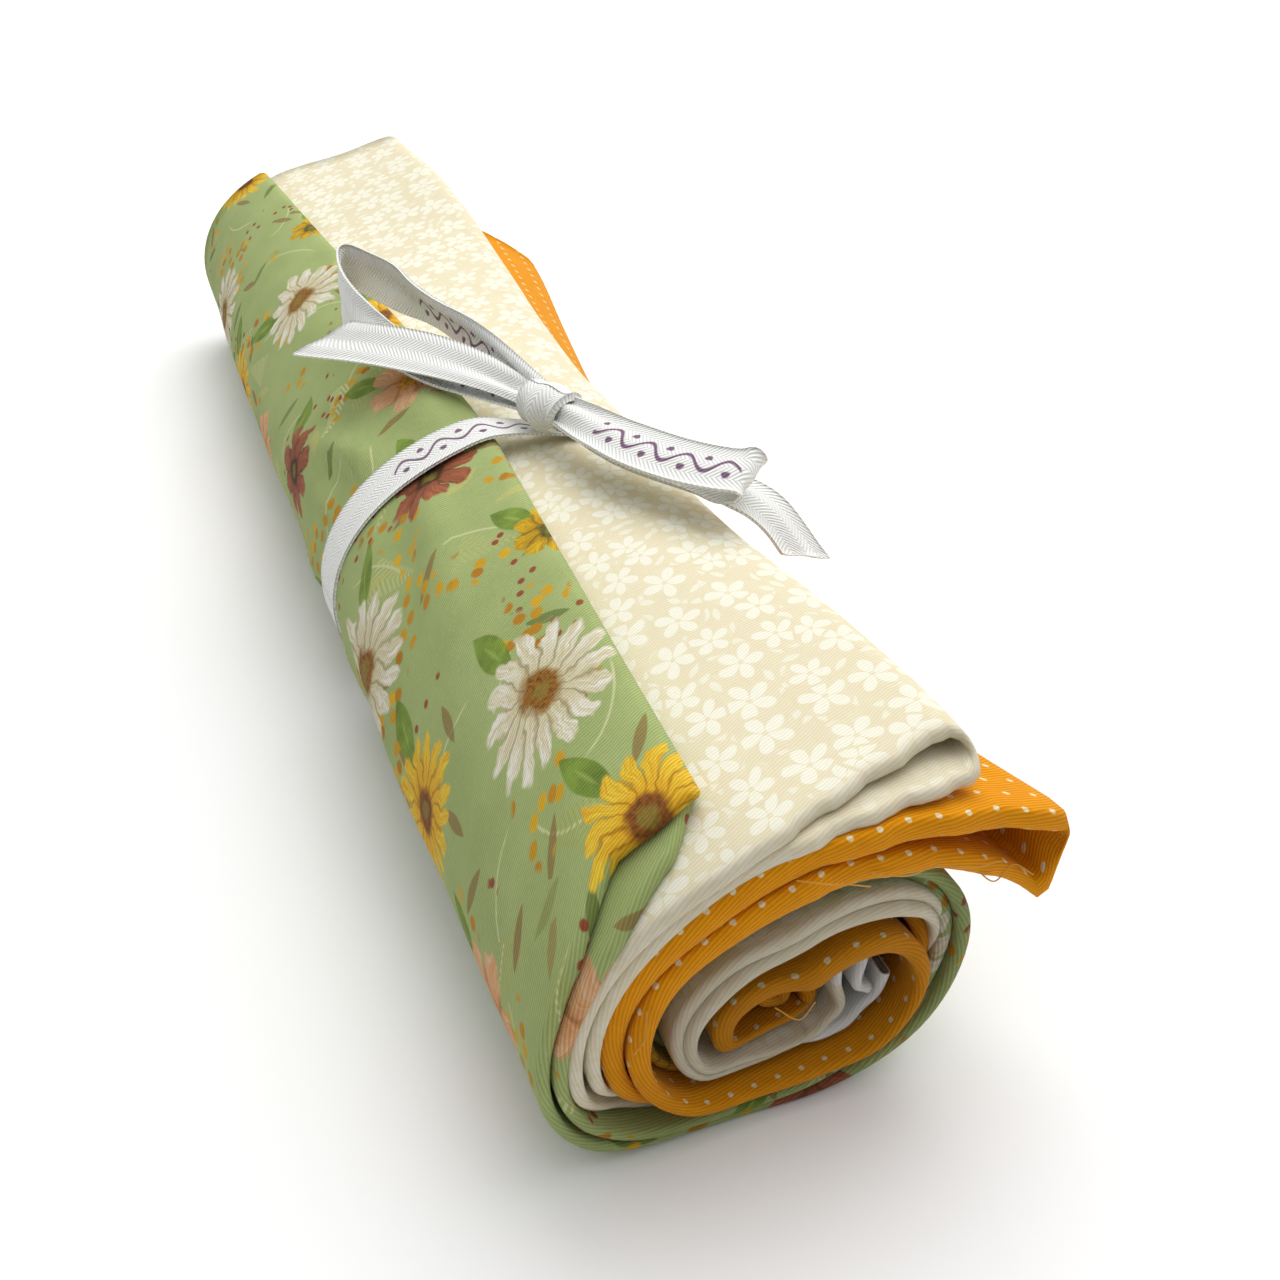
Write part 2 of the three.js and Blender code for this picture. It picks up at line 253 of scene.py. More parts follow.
CUTS = (
    Cut(
        "floral", legs=(0.0, 0.8), flap_near=0, flap_far=0, curls=((0, 0, 0), (0, 0, 0)),
        fold_angle=(0.27, 0.03, 0.3),
        rims=(((0, 0.7), (0.3, 0.8), (0.4, 1.5), (0.7, 1.5), (0.82, 0.8)),
              ((0, 0.7), (0.3, 0.8), (0.4, 1.5), (0.7, 1.5), (0.82, 0.9), (1, 0.7))),
        rises=(((0.3, 0), (0.4, 0.5), (0.7, 0.5), (0.82, 0)),
               ((0.3, 0), (0.4, 1.2), (0.7, 1.2), (0.82, 0))),
        setbacks=(((0, 16.5), (0.03, 14), (0.07, 14), (0.1, 8), (0.13, 3), (0.17, 1), (0.3, 2), (1, 4),
                   (1.6, 14)),
                  ((0, 19), (0.03, 9), (0.07, 5), (0.1, 2), (0.15, 0), (0.3, 1), (0.6, 4), (1, 9),
                   (1.6, 18))),
        far_skew=(0, 0), core_ends=(((13.5, 12.2),), ((16, 14.2),)), tip_round=1.6, tip_square=2,
    ),
    Cut(
        "cream", legs=(1.6, 2.4), flap_near=42, flap_far=50,
        curls=((0.003, 0.012, -0.0021), (0.0065, 0.0125, -0.0006)),
        rims=(((0, 0.8),), ((0, 0.8),)),
        setbacks=(((-1, 15), (-0.6, 10), (0, 2.5), (0.05, 0.5), (0.28, 0), (0.36, 9), (0.7, 10), (0.85, 3),
                   (1, 2), (1.6, 6)),
                  ((-1, 6), (-0.5, 3), (0, 1), (0.28, 1), (0.36, 10), (0.7, 10), (0.85, 2), (1, 1),
                   (1.6, 6))),
        far_skew=(-8, 0),
        core_ends=(((18, 14.6), (24, 17), (29, 22), (30, 28)),
                   ((17, 17), (20.5, 21), (18.5, 29), (20, 37), (24.5, 35), (23.5, 27), (27, 23))),
        tip_round=3.2, tip_square=2,
    ),
    Cut(
        "dot", legs=(3.3, 4.8), flap_near=62.5, flap_far=90,
        curls=((0.0092, 0.019, 0.0085), (0.016, 0.019, 0.0095)),
        rims=(((0, 1.3),), ((0, 1.3),)),
        setbacks=(((-1, 0), (0.3, 1), (0.38, 8), (0.75, 8), (1.05, 14), (1.6, 22)),
                  ((-1, 2), (0, 0), (0.6, 0), (1, 1), (1.6, 11))),
        far_skew=(14, 58),
        core_ends=(((16, 18.5), (17.2, 23)),
                   ((15, 24), (11, 28), (9, 22.5), (4.5, 25.5), (6.5, 32), (2, 33), (0.5, 27))),
        tip_round=2.0, tip_square=6, tuck=13.0,
    ),
)


def catmull(points, parts):
    """A smooth run of points through the given ones, from the first to the last."""
    points = np.array(points, float)
    padded = np.vstack([2 * points[0] - points[1], points, 2 * points[-1] - points[-2]])
    run = []
    for i in range(len(points) - 1):
        a, b, c, d = padded[i:i + 4]
        for t in np.arange(parts) / parts:
            run.append(0.5 * (2 * b + (c - a) * t + (2 * a - 5 * b + 4 * c - d) * t * t
                              + (3 * b - a - 3 * c + d) * t ** 3))
    run.append(points[-1])
    return np.array(run)


def core_run(cut, leg):
    """The loose end of a leg in the core of the roll, and the direction across it, for the near end."""
    layer = cut.legs[leg]
    angles = np.array([SPIRAL_END - 2 * SPIRAL_STEP, SPIRAL_END])
    x, z = spiral(angles, layer)
    points = [(x[0], z[0]), (x[1], z[1])] + list(cut.core_ends[leg])
    run = catmull(points, 6)[6:]
    along = unit(np.gradient(run, axis=0))
    inward = np.stack([-along[:, 1], along[:, 0]], axis=1)
    return run[1:], inward[1:]


def fold_angle_at(cut, share):
    near, tie, far = cut.fold_angle
    tie_share = share_along(TIE_Y)
    before = near + (tie - near) * np.clip(share / tie_share, 0, 1)
    after = tie + (far - tie) * np.clip((share - tie_share) / (1 - tie_share), 0, 1) ** 1.5
    return np.where(share < tie_share, before, after)


class LegStations:
    """Stations down one leg, from the fold of the free edge to the core."""

    def __init__(self, cut, leg):
        self.cut = cut
        self.leg = leg
        self.flap_parts = 20 if cut.flap_near else 0
        self.spiral_parts = round(SPIRAL_END / SPIRAL_STEP)
        self.core, self.core_inward = core_run(cut, leg)
        flap_shares = -np.linspace(1, 0, self.flap_parts, endpoint=False)
        angles = np.linspace(0, SPIRAL_END, self.spiral_parts + 1) / TURN
        core = angles[-1] + 0.02 * (1 + np.arange(len(self.core)))
        self.place = np.concatenate([flap_shares, angles, core])  # flap share below 0, turns above

    def point(self, across, y):
        """x and z of every station (rows) at every y (columns); across is in layers."""
        cut = self.cut
        share = share_along(y)
        tight = tightness(share)
        layer = cut.legs[self.leg] + across
        place = np.broadcast_to(self.place[:, None], y.shape)
        on_flap = place < 0
        start = fold_angle_at(cut, share) / TURN
        squeezed = start + np.maximum(place, 0) * (1 - start / (SPIRAL_END / TURN))
        spiral_x, spiral_z = spiral(np.minimum(squeezed * TURN, SPIRAL_END), layer)
        near_curl, tie_curl, far_curl = cut.curls[self.leg]
        loose = np.where(share < share_along(TIE_Y), near_curl, far_curl)
        curl = loose + (tie_curl - loose) * tight
        reach = (cut.flap_near + (cut.flap_far - cut.flap_near) * share) * (1 - FLAP_DRAWN_IN * tight)
        reach = reach - cut.tuck * smoothstep(share, 0, 0.07) * (1 - smoothstep(share, 0.15, 0.5))
        flap_x, flap_z = flap(-np.minimum(place, 0) * reach, layer, curl)
        x = np.where(on_flap, flap_x, spiral_x)
        z = np.where(on_flap, flap_z, spiral_z)
        first_core = self.flap_parts + self.spiral_parts + 1
        for i in range(len(self.core)):
            thick = across[first_core + i] * CORE_LAYER
            x[first_core + i] = self.core[i, 0] + self.core_inward[i, 0] * thick
            z[first_core + i] = self.core[i, 1] + self.core_inward[i, 1] * thick
        swell = MIDDLE_SWELL * 4 * share * (1 - share)
        x = x * (1 + (FAR_WIDTH - 1) * share + swell)
        z = z * (1 + (FAR_HEIGHT - 1) * share)
        return x, z

    def outward(self, y):
        """Unit vectors pointing out of the roll at every station and y."""
        x, z = self.point(np.zeros_like(y), y)
        dx = np.gradient(x, axis=0)
        dz = np.gradient(z, axis=0)
        length = np.hypot(dx, dz) + TINY
        return dz / length, -dx / length

    def setback(self):
        """How far the near rim lies behind the end of the roll at every station, with a slight wobble."""
        places, values = zip(*self.cut.setbacks[self.leg])
        wobble = (0.5 * np.sin(self.place * 19 + self.leg * 2 + len(self.cut.name))
                  + 0.15 * np.sin(self.place * 47))
        return np.interp(self.place, places, values) + wobble + 0.6


def rows_along():
    """Shares of the way from the near rim to the far edge, closest together at the near end."""
    share = np.linspace(0, 1, ROWS + 1)
    return 0.35 * share ** 2.2 + 0.65 * share


def sheet_rows():
    """Each row of a cut: how far along (0 near, 1 far), and which ply it is on, 1 outer to -1 inner."""
    along = rows_along()
    ply = [(a, 1.0) for a in along[::-1]]
    for i in range(1, RIM_ROWS):
        ply.append((0.0, math.cos(math.pi * i / RIM_ROWS)))
    ply += [(a, -1.0) for a in along]
    return np.array(ply)


def leg_sheet(stations, rows):
    """The points of one leg: stations down the leg by rows from its outer ply over the rim to its inner."""
    cut = stations.cut
    leg = stations.leg
    near = NEAR_Y + stations.setback()[:, None]
    flap_share = np.maximum(-stations.place, 0)[:, None]
    skew_base, skew_tip = cut.far_skew
    far = FAR_Y - 1.0 - skew_base - skew_tip * flap_share
    far = far - 0.75 * (1 + np.sin(stations.place * 9 + leg))[:, None]
    along, ply = rows.T[:, None]
    on_inner = ply < 0
    y = near + along * (far - 3.0 * on_inner - near)
    fuller = bump(y, near, RIM_LENGTH)
    rim = np.interp(stations.place, *zip(*cut.rims[leg]))[:, None]
    rise = np.interp(stations.place, *zip(*cut.rises[leg]))[:, None]
    thickness = LEG_THICKNESS + (rim - LEG_THICKNESS) * fuller
    y = y - RIM_DEPTH * np.sqrt(np.clip(1 - ply ** 2, 0, 1))
    outside = -1.0 if leg == 0 else 1.0
    across = outside * 0.5 * thickness * ply + rise * fuller
    x, z = stations.point(across, y)
    out_x, out_z = stations.outward(y)
    place = stations.place[:, None]
    arc = np.where(place >= 0, place * TURN * ARC_RADIUS, place * FLAP_ARC)
    depth = np.maximum(place, 0) + cut.legs[leg] / LAYERS_PER_TURN
    looseness = np.clip(1 - depth / 0.75, 0, 1) * smoothstep(place, -0.2, 0.05)
    lift = wrinkles(arc, y, x) * looseness
    lift = lift + undulation(arc, y) * np.clip(1.1 - depth, 0.1, 1) * 0.6
    lift = lift * smoothstep(z, 2, 14)
    slump = near_bulge(place, y) * np.clip(1 - depth / 0.8, 0, 1)
    x = x + out_x * lift + np.clip(out_x * 4, -1, 1) * slump
    z = z + out_z * lift + band_lift(x, y, z)
    return np.stack([x, y, z], axis=-1)


def make_sheet(cut):
    """All points of a cut, as a grid from the core end of one leg to the core end of the other."""
    rows = sheet_rows()
    legs = [leg_sheet(LegStations(cut, leg), rows) for leg in (0, 1)]
    first, second = legs
    tip_a, tip_b = first[0], second[0]
    in_section = (1, 0, 1)
    direction = unit(sum(unit((leg[0] - leg[1]) * in_section) for leg in legs))
    reach = cut.tip_round + 0.6 * rows[:, 1]
    tip = []
    for i in range(1, TIP_PARTS):
        t = i / TIP_PARTS
        out = math.sqrt(1 - abs(2 * t - 1) ** cut.tip_square)
        tip.append(tip_a + (tip_b - tip_a) * t + direction * (reach * out)[:, None])
    return np.concatenate([first[::-1], np.array(tip), second]), rows, len(first)


# ---------------------------------------------------------------- meshes

def grid_normals(points):
    return unit(np.cross(np.gradient(points, axis=0), np.gradient(points, axis=1)))


def shell(name, points, thickness, u, v, material):
    """A closed sheet of the given thickness round a grid of points, with cloth coordinates u and v."""
    rows, columns, _ = points.shape
    normal = grid_normals(points)
    top = points + normal * thickness / 2
    bottom = points - normal * thickness / 2
    vertices = np.concatenate([top.reshape(-1, 3), bottom.reshape(-1, 3)]) * MM
    index = np.arange(rows * columns).reshape(rows, columns)
    corners = [index[:-1, :-1], index[1:, :-1], index[1:, 1:], index[:-1, 1:]]
    quads = np.stack(corners, axis=-1).reshape(-1, 4)
    under = quads[:, ::-1] + rows * columns
    edge = np.concatenate([index[:, 0], index[-1, 1:], index[-2::-1, -1], index[0, -2:0:-1]])
    following = np.roll(edge, -1)
    walls = np.stack([following, edge, edge + rows * columns, following + rows * columns], axis=-1)
    faces = np.concatenate([quads, under, walls[:, ::-1]])
    mesh = bpy.data.meshes.new(name)
    mesh.from_pydata(vertices.tolist(), [], faces.tolist())
    cloth = mesh.uv_layers.new(name="cloth")
    uv = np.stack([np.broadcast_to(part, (rows, columns)).ravel() for part in (u, v)], axis=1) * MM
    uv = np.concatenate([uv, uv])
    loops = np.zeros(len(mesh.loops), int)
    mesh.loops.foreach_get("vertex_index", loops)
    cloth.data.foreach_set("uv", uv[loops].astype(np.float32).ravel())
    mesh.shade_smooth()
    mesh.validate()
    mesh.materials.append(material)
    obj = bpy.data.objects.new(name, mesh)
    bpy.context.scene.collection.objects.link(obj)
    return obj


def make_cloth(cut, material):
    points, rows, fold = make_sheet(cut)
    middle = len(rows) // 4
    path = travelled(points[:, middle])
    fold_place = path[fold - 1]
    u = (fold_place - path)[:, None]
    down = np.concatenate([np.zeros((len(points), 1)),
                           np.cumsum(np.linalg.norm(np.diff(points, axis=1), axis=2), axis=1)], axis=1)
    rim = ROWS + RIM_ROWS // 2
    v = down[:, rim][:, None] - down
    return shell(cut.name, points, CLOTH_THICKNESS, u, v, material)


# ---------------------------------------------------------------- tape

def ribbon(name, path, side, widths, material, start, crown, thickness=TAPE_THICKNESS, slant=0.0, parts=8):
    """A tape along a smooth path; side is the direction of its width at each given point.

    start says where it begins in the run of printed marks, crown how much a gathered tape is creased,
    and slant how far its end is cut askew.
    """
    centre = catmull(path, parts)
    across = catmull(side, parts)
    width = catmull([(w, 0) for w in widths], parts)[:, 0]
    along = unit(np.gradient(centre, axis=0))
    across = unit(across - along * np.sum(across * along, axis=1)[:, None])
    up = np.cross(along, across)
    place = np.linspace(-0.5, 0.5, TAPE_COLUMNS)
    run = travelled(centre)
    crease = crown * np.clip(1 - width / TAPE_WIDTH, 0, 1) + 0.3
    points = (centre[:, None] + across[:, None] * (place * width[:, None])[..., None]
              + up[:, None] * (np.cos(place * TURN * 1.5) * crease[:, None])[..., None])
    if slant:
        last = smoothstep(run, run[-1] - SLANT_LENGTH, run[-1])[:, None]
        points += along[:, None] * (last * place * slant)[..., None]
    return shell(name, points, thickness, start + run[:, None], place * TAPE_WIDTH, material)


def roll_outline():
    """The outline of the cloth under the band, as a convex ring of x and z."""
    points = []
    for cut in CUTS:
        for leg in (0, 1):
            stations = LegStations(cut, leg)
            y = np.full((len(stations.place), 1), TIE_Y)
            x, z = stations.point(np.full_like(y, -0.28), y)
            points += list(zip(x[:, 0], z[:, 0]))
    points = sorted(points)

    def half(run):
        chain = []
        for p in run:
            while len(chain) > 1:
                a, b = chain[-2], chain[-1]
                if (b[0] - a[0]) * (p[1] - a[1]) - (b[1] - a[1]) * (p[0] - a[0]) > 0:
                    break
                chain.pop()
            chain.append(p)
        return chain[:-1]

    return np.array(half(points) + half(points[::-1]))


def even_ring(ring, count):
    """The same ring with points at even distances."""
    closed = np.vstack([ring, ring[:1]])
    length = travelled(closed)
    places = np.linspace(0, length[-1], count, endpoint=False)
    return np.stack([np.interp(places, length, closed[:, k]) for k in (0, 1)], axis=1)


def make_band(material):
    ring = even_ring(roll_outline(), 160)
    for _ in range(6):
        ring = 0.25 * np.roll(ring, 1, axis=0) + 0.5 * ring + 0.25 * np.roll(ring, -1, axis=0)
    along = unit(np.roll(ring, -1, axis=0) - np.roll(ring, 1, axis=0))
    outward = np.stack([along[:, 1], -along[:, 0]], axis=1)
    ring = ring + outward * BAND_OFFSET
    ring = np.vstack([ring, ring[:1]])
    place = np.linspace(-0.5, 0.5, TAPE_COLUMNS)
    on_top = ring[:, 1] > 50
    gather = 1 - 0.45 * bump(ring[:, 0], 14, 16) * on_top  # narrower under the knot
    x = np.repeat(ring[:, :1], TAPE_COLUMNS, axis=1)
    y = band_y(x) + place * TAPE_WIDTH * gather[:, None]
    z = np.maximum(np.repeat(ring[:, 1:], TAPE_COLUMNS, axis=1), TAPE_THICKNESS / 2)
    run = travelled(ring)
    printed = run - PRINT_SHIFT * (run > PRINT_SHIFT_FROM)
    points = np.stack([x, y, z], axis=-1)
    return shell("tape_band", points, TAPE_THICKNESS, printed[:, None], place * TAPE_WIDTH, material)


def bow_place(start, heading, along, aside, z):
    """The point so far along a heading from the start and so far to the left of it, at height z."""
    way = math.radians(heading)
    x = start[0] + along * math.cos(way) - aside * math.sin(way)
    y = start[1] + along * math.sin(way) + aside * math.cos(way)
    return (x, y, z)


def make_knot(material):
    """The knot: the tape wrapped once over the gathered strands, pulled tight."""
    path = []
    widths = []
    for i in range(KNOT_PARTS + 1):
        turn = TURN * i / KNOT_PARTS
        x = 5.8 * math.sin(turn)
        z = 4.9 * math.cos(turn)
        path.append(bow_place(KNOT, KNOT_HEADING, x, 0, KNOT[2] + z - 0.2))
        widths.append(14.5 - 2.5 * (1 - math.cos(turn)))
    side = [bow_place((0, 0), KNOT_HEADING, 0, 1, 0)] * len(path)
    return ribbon("tape_knot", path, side, widths, material, KNOT_START, crown=2.0, thickness=2.2, parts=3)


def bow_loop(start, heading, length, out_bulge, back_bulge, rise, drop, fold):
    """Centre line of a loop: out to its tip on one side of the heading and back lower on the other side."""
    path = []
    for i in range(LOOP_POINTS):
        share = i / (LOOP_POINTS - 1)
        along = length * (1 - abs(2 * share - 1) ** LOOP_ROUNDING)
        swing = math.sin(TURN * share)
        aside = -swing * (out_bulge if swing > 0 else back_bulge)
        fall = smoothstep(share, *fold) - 0.6 * smoothstep(share, 0.85, 1.0)
        z = start[2] + rise * math.sin(math.pi * share) - drop * fall
        path.append(bow_place(start, heading, along, aside, z))
    return path


def bow_tail(start, heading, length, count, bulge, rise, slope, droop):
    """Centre line of a tail: a shallow arc whose end hangs down."""
    path = []
    for i in range(count):
        share = i / (count - 1)
        arch = math.sin(math.pi * share)
        z = start[2] + rise * arch - slope * share - droop * share ** 8
        path.append(bow_place(start, heading, length * share, bulge * arch, z))
    return path


def make_left_loop(material):
    path = bow_loop((15.5, -54, 87), 105, 112, out_bulge=4.5, back_bulge=13.5, rise=3.5, drop=5,
                    fold=(0.5, 0.75))
    upright = (0.0, 0.0, 1.0)
    lean = (-0.35, 0.1, 0.9)
    low = (0.6, 0.64, 0.4)
    side = ((0.6, 0.3, 0.7), (0.5, 0.2, 0.8), (0.1, 0.15, 0.9)) + (lean,) * 2 + (upright,) * 4 \
        + ((0.05, 0.05, 1.0), (0.2, 0.2, 0.9), (0.4, 0.45, 0.7)) + (low,) * 4
    widths = (7, 9, 12, 14.5, 15, 15, 15, 15, 15, 15, 14.5, 13, 11, 10, 9, 7)
    return ribbon("tape_loop_left", path, side, widths, material, -22, crown=2.0)


def make_left_tail(material):
    path = bow_tail((16, -56, 85.6), 124, 83, count=6, bulge=-5, rise=1.8, slope=0.4, droop=0)
    side = ((0.6, 0.75, 0.2), (0.6, 0.7, 0.3), (0.6, 0.65, 0.35), (0.6, 0.65, 0.38), (0.62, 0.64, 0.4),
            (0.62, 0.62, 0.42))
    widths = (7, 9.5, 13, 15, 15, 15)
    return ribbon("tape_tail_left", path, side, widths, material, KNOT_START, crown=2.0, slant=-13)


def make_right_loop(material):
    path = bow_loop((15.8, -57, 87.4), -61, 67, out_bulge=7, back_bulge=1, rise=1.5, drop=6,
                    fold=(0.45, 0.6))
    flat = (0.72, 0.55, 0.22)
    side = ((0.7, 0.3, 0.5), (0.8, 0.3, 0.4)) + (flat,) * 12 + ((0.8, 0.3, 0.4), (0.7, 0.3, 0.5))
    widths = (8, 11, 13.5, 14.8, 15.3, 15.5, 15.5, 15.5, 15.5, 15.5, 15, 14.5, 13.5, 12, 10, 8)
    return ribbon("tape_loop_right", path, side, widths, material, -14, crown=2.5)


def make_right_tail(material):
    path = bow_tail((18, -60, 84), -52, 73, count=9, bulge=-7, rise=0, slope=4.5, droop=17)
    side = ((0.75, 0.62, 0),) * len(path)
    widths = (8, 10, 13, 15, 15, 15, 15, 15, 15)
    return ribbon("tape_tail_right", path, side, widths, material, KNOT_START, crown=1.5, slant=13)


# ---------------------------------------------------------------- materials

BUMP_DEPTH = 0.2 * MM
WEAVE_PITCH = 0.085
CREASES = 7.0  # height of the soft creases beside that of the weave


def colour(red, green, blue):
    """A colour given as it looks on screen, 0 to 255, for a shader."""
    def linear(value):
        value /= 255
        return value / 12.92 if value <= 0.04045 else ((value + 0.055) / 1.055) ** 2.4
    return (linear(red), linear(green), linear(blue), 1.0)


class Graph:
    """Short spellings for the nodes of one new material or world."""

    def __init__(self, owner):
        self.owner = owner
        owner.use_nodes = True
        self.tree = owner.node_tree
        self.tree.nodes.clear()

    def node(self, kind, inputs, **settings):
        """The outputs of a new node; inputs gives a value or another node's output for each socket."""
        node = self.tree.nodes.new(kind)
        for key, value in settings.items():
            setattr(node, key, value)
        for socket, value in inputs.items():
            if isinstance(value, bpy.types.NodeSocket):
                self.tree.links.new(value, node.inputs[socket])
            else:
                node.inputs[socket].default_value = value
        return node.outputs

    def math(self, operation, a, b=0.0, c=0.0, clamp=False):
        return self.node("ShaderNodeMath", {0: a, 1: b, 2: c}, operation=operation, use_clamp=clamp)[0]

    def vector(self, operation, a, b=(0.0, 0.0, 0.0)):
        outputs = self.node("ShaderNodeVectorMath", {0: a, 1: b}, operation=operation)
        return outputs["Value" if operation in ("LENGTH", "DISTANCE") else "Vector"]

    def scaled(self, vector, scale):
        return self.node("ShaderNodeVectorMath", {0: vector, 3: scale}, operation="SCALE")[0]

    def mix(self, factor, a, b):
        return self.node("ShaderNodeMix", {"Factor": factor, 6: a, 7: b}, data_type="RGBA")[2]

    def mix_vector(self, factor, a, b):
        return self.node("ShaderNodeMix", {"Factor": factor, 4: a, 5: b}, data_type="VECTOR")[1]

    def split(self, vector):
        return tuple(self.node("ShaderNodeSeparateXYZ", {0: vector}))

    def join(self, x, y, z=0.0):
        return self.node("ShaderNodeCombineXYZ", {0: x, 1: y, 2: z})[0]

    def noise(self, vector, scale, detail=3.0):
        inputs = {"Vector": vector, "Scale": scale, "Detail": detail}
        return self.node("ShaderNodeTexNoise", inputs)["Fac"]

    def times(self, a, b, clamp=False):
        return self.math("MULTIPLY", a, b, clamp=clamp)

    def above(self, value, edge, softness):
        """0 below edge, 1 above it."""
        scaled = self.math("DIVIDE", self.math("SUBTRACT", value, edge), softness)
        return self.math("ADD", scaled, 0.5, clamp=True)

    def below(self, value, edge, softness):
        """1 below edge, 0 above it."""
        return self.math("SUBTRACT", 1.0, self.above(value, edge, softness))

    def cloth(self):
        """Cloth coordinates in centimetres, as a vector."""
        return self.scaled(self.node("ShaderNodeUVMap", {}, uv_map="cloth")[0], 100.0)

    def cells(self, cm, spacing, randomness, feature):
        inputs = {"Vector": cm, "Scale": 1 / spacing, "Randomness": randomness}
        return self.node("ShaderNodeTexVoronoi", inputs, voronoi_dimensions="2D", feature=feature)

    def scatter(self, cm, spacing, randomness=1.0):
        """Coordinates turned at random about the nearest of many scattered points, in centimetres,
        and two random numbers for that point."""
        cells = self.cells(cm, spacing, randomness, "F1")
        red, green, blue = self.split(cells["Color"])
        turned = {"Vector": self.vector("SUBTRACT", cm, cells["Position"]), "Angle": self.times(red, TURN)}
        return self.node("ShaderNodeVectorRotate", turned, rotation_type="Z_AXIS")[0], green, blue

    def finish(self, base, roughness, height, strength, sheen=0.04):
        """The material: base colour, with height as a bump of the given strength."""
        relief = {"Height": height, "Strength": strength, "Distance": BUMP_DEPTH}
        normal = self.node("ShaderNodeBump", relief)[0]
        surface = {
            "Base Color": base, "Roughness": roughness, "Normal": normal, "Specular IOR Level": 0.12,
            "Sheen Weight": sheen, "Sheen Roughness": 0.5,
        }
        shader = self.node("ShaderNodeBsdfPrincipled", surface)[0]
        self.node("ShaderNodeOutputMaterial", {"Surface": shader})
        return self.owner


def painted_rib_shade(g, base, height, depth):
    """The colour of a weave with painted shade: darker between its ribs, where the weave lies low; depth is
    how dark that painted shade goes.
    """
    shade = g.math("MULTIPLY_ADD", height, depth * 0.93, 1.0 - depth, clamp=True)
    return g.mix(shade, colour(40, 34, 24), base)


def weave(g, cm):
    """Height of a plain weave whose weft shows as fine ribs."""
    x, y, _ = g.split(cm)
    lean = g.math("MULTIPLY_ADD", x, 0.22, y)
    weft = g.math("SINE", g.times(lean, TURN / WEAVE_PITCH))
    warp = g.math("SINE", g.times(x, TURN / (WEAVE_PITCH * 0.6)))
    slub = g.noise(g.vector("MULTIPLY", cm, (5.0, 12.0, 1.0)), 1.0)
    ribs = g.math("MULTIPLY_ADD", weft, 0.5, g.times(warp, 0.1))
    return g.math("MULTIPLY_ADD", slub, 0.6, ribs)


def creased(g, cm, height):
    """The height of a weave with soft, shallow creases added."""
    creases = g.noise(g.vector("MULTIPLY", cm, (0.55, 0.35, 1.0)), 1.0, detail=2.0)
    return g.math("MULTIPLY_ADD", creases, CREASES, height)


def painted_core_shade(g, base, x, start, amount):
    """Painted shade: cloth deep in the roll, where little light reaches, drawn darker; x is the distance
    from the fold of the free edge, in centimetres.
    """
    beyond = g.math("DIVIDE", start, g.math("MAXIMUM", g.math("ABSOLUTE", x), start))
    depth = g.math("SUBTRACT", 1.0, beyond)
    return g.mix(g.times(depth, amount, clamp=True), base, colour(30, 20, 8))


def cotton(g, cm, base, shade_from, shade, depth=0.28, relief=0.4):
    """The finished material: a print with painted shade that deepens towards the core and painted shade
    between the ribs of its weave, with its weave and creases as bumps.
    """
    across, _, _ = g.split(cm)
    base = painted_core_shade(g, base, across, shade_from, shade)
    height = weave(g, cm)
    return g.finish(painted_rib_shade(g, base, height, depth), 0.85, creased(g, cm, height), relief)


def inner_side(g, y):
    """How much of the print is lost: on the folded rim, and inside where only the cloth's back shows."""
    rim = g.below(g.math("ABSOLUTE", y), 0.3, 0.2)
    inside = g.below(y, -0.35, 0.2)
    return g.times(g.math("MAXIMUM", rim, inside), 0.75)


def petals(g, local, radius, count, gap, fullness=0.55):
    """Of a flower with round petals: its mask, the angle, the share of the radius, and the petals' lobes."""
    x, y, _ = g.split(local)
    angle = g.math("ARCTAN2", y, x)
    distance = g.math("DIVIDE", g.vector("LENGTH", local), radius)
    half = g.times(g.times(angle, count), 0.5)
    lobe = g.math("POWER", g.math("ABSOLUTE", g.math("COSINE", half)), fullness)
    edge = g.math("MULTIPLY_ADD", lobe, gap, g.math("SUBTRACT", 1.0, gap))
    mask = g.times(g.math("SUBTRACT", edge, distance), 14.0, clamp=True)
    return mask, angle, distance, lobe


# Colours of the flowers: petal, petal root and heart
SUN = ((252, 222, 70), (234, 164, 24), (150, 88, 34))
DAISY = ((250, 247, 232), (214, 200, 146), (166, 112, 40))
PEACH = ((242, 200, 156), (228, 154, 94), (250, 176, 30))
RUST = ((188, 112, 76), (134, 72, 48), (76, 48, 26))
LEMON = ((240, 200, 40), (170, 122, 20), (96, 106, 40))
# Kinds of flower in the order they repeat: radius, petals, colours
FLOWER_KINDS = ((1.75, 15, SUN), (1.45, 8, RUST), (2.0, 15, DAISY), (1.6, 6, PEACH), (1.1, 8, LEMON))
PRINT_COLUMNS = 2
PRINT_ROWS = 8
COLUMN_PITCH = 5.7
ROW_PITCH = 5.1
COLUMN_SWAY = 1.2
FIRST_FLOWER = (0.9, 0.3)
LEAF_WIDTH = 0.4
PRINT_WIDTH = 12.4
PRINT_HEIGHT = 44.0
PRINT_DROP = 0.37 * PRINT_HEIGHT  # how far each repeat is shifted against the one beside it
PRINT_MARGIN = (2.6, 3.0)  # how far the repeat begins before the fold edge and the near end


